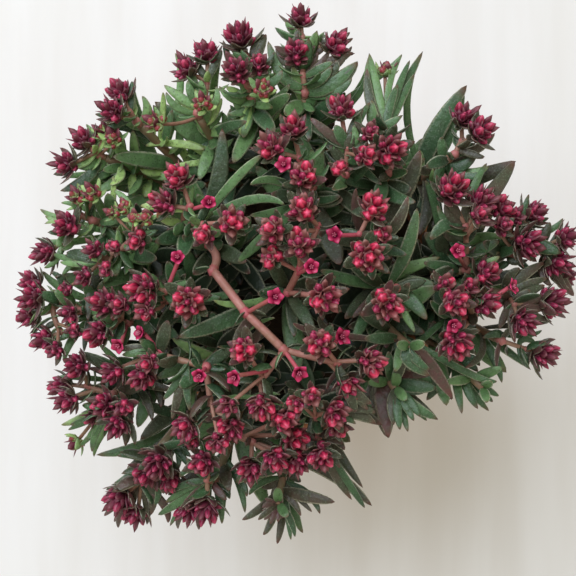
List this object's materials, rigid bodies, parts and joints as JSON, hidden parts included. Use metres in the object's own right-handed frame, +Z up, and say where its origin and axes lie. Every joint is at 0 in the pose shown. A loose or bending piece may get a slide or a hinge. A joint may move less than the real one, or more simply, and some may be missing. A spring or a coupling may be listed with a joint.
{
  "type": "potted flowering succulent",
  "caption": "Domed crassula in bloom: narrow fleshy leaves on short stems under branched pink sprays of crimson bud heads and small open flowers, in a plain tapered clay pot.",
  "frame": {"origin": "the centre of the pot's flat underside", "axes": "+Z is up; +Y is the top of the picture and +X its right, as the camera looks straight down"},
  "size_m": [0.2065, 0.1982, 0.1901],
  "materials": {
    "terracotta": "matte",
    "soil": "matte",
    "leaf": "satin",
    "bloom": "satin"
  },
  "bodies": {
    "root": {"pot": "terracotta", "soil": "soil", "leafy_stem_01": "leaf", "leafy_stem_02": "leaf", "leafy_stem_03": "leaf", "leafy_stem_04": "leaf", "leafy_stem_05": "leaf", "leafy_stem_06": "leaf", "leafy_stem_07": "leaf", "leafy_stem_08": "leaf", "leafy_stem_09": "leaf", "leafy_stem_10": "leaf", "leafy_stem_11": "leaf", "leafy_stem_12": "leaf", "leafy_stem_13": "leaf", "leafy_stem_14": "leaf", "leafy_stem_15": "leaf", "leafy_stem_16": "leaf", "leafy_stem_17": "leaf", "leafy_stem_18": "leaf", "leafy_stem_19": "leaf", "leafy_stem_20": "leaf", "leafy_stem_21": "leaf", "leafy_stem_22": "leaf", "leafy_stem_23": "leaf", "leafy_stem_24": "leaf", "leafy_stem_25": "leaf", "leafy_stem_26": "leaf", "leafy_stem_27": "leaf", "leafy_stem_28": "leaf", "flower_spray_01": "bloom", "flower_spray_02": "bloom", "flower_spray_03": "bloom", "flower_spray_04": "bloom", "flower_spray_05": "bloom", "flower_spray_06": "bloom", "flower_spray_07": "bloom", "flower_spray_08": "bloom", "flower_spray_09": "bloom", "flower_spray_10": "bloom", "flower_spray_11": "bloom", "flower_spray_12": "bloom", "flower_spray_13": "bloom", "flower_spray_14": "bloom", "flower_spray_15": "bloom", "flower_spray_16": "bloom", "flower_spray_17": "bloom", "flower_spray_18": "bloom", "flower_spray_19": "bloom", "flower_spray_20": "bloom", "flower_spray_21": "bloom", "flower_spray_22": "bloom", "flower_spray_23": "bloom", "flower_spray_24": "bloom", "flower_spray_25": "bloom", "flower_spray_26": "bloom", "flower_spray_27": "bloom", "flower_spray_28": "bloom", "flower_spray_29": "bloom", "flower_spray_30": "bloom"}
  },
  "joints": []
}
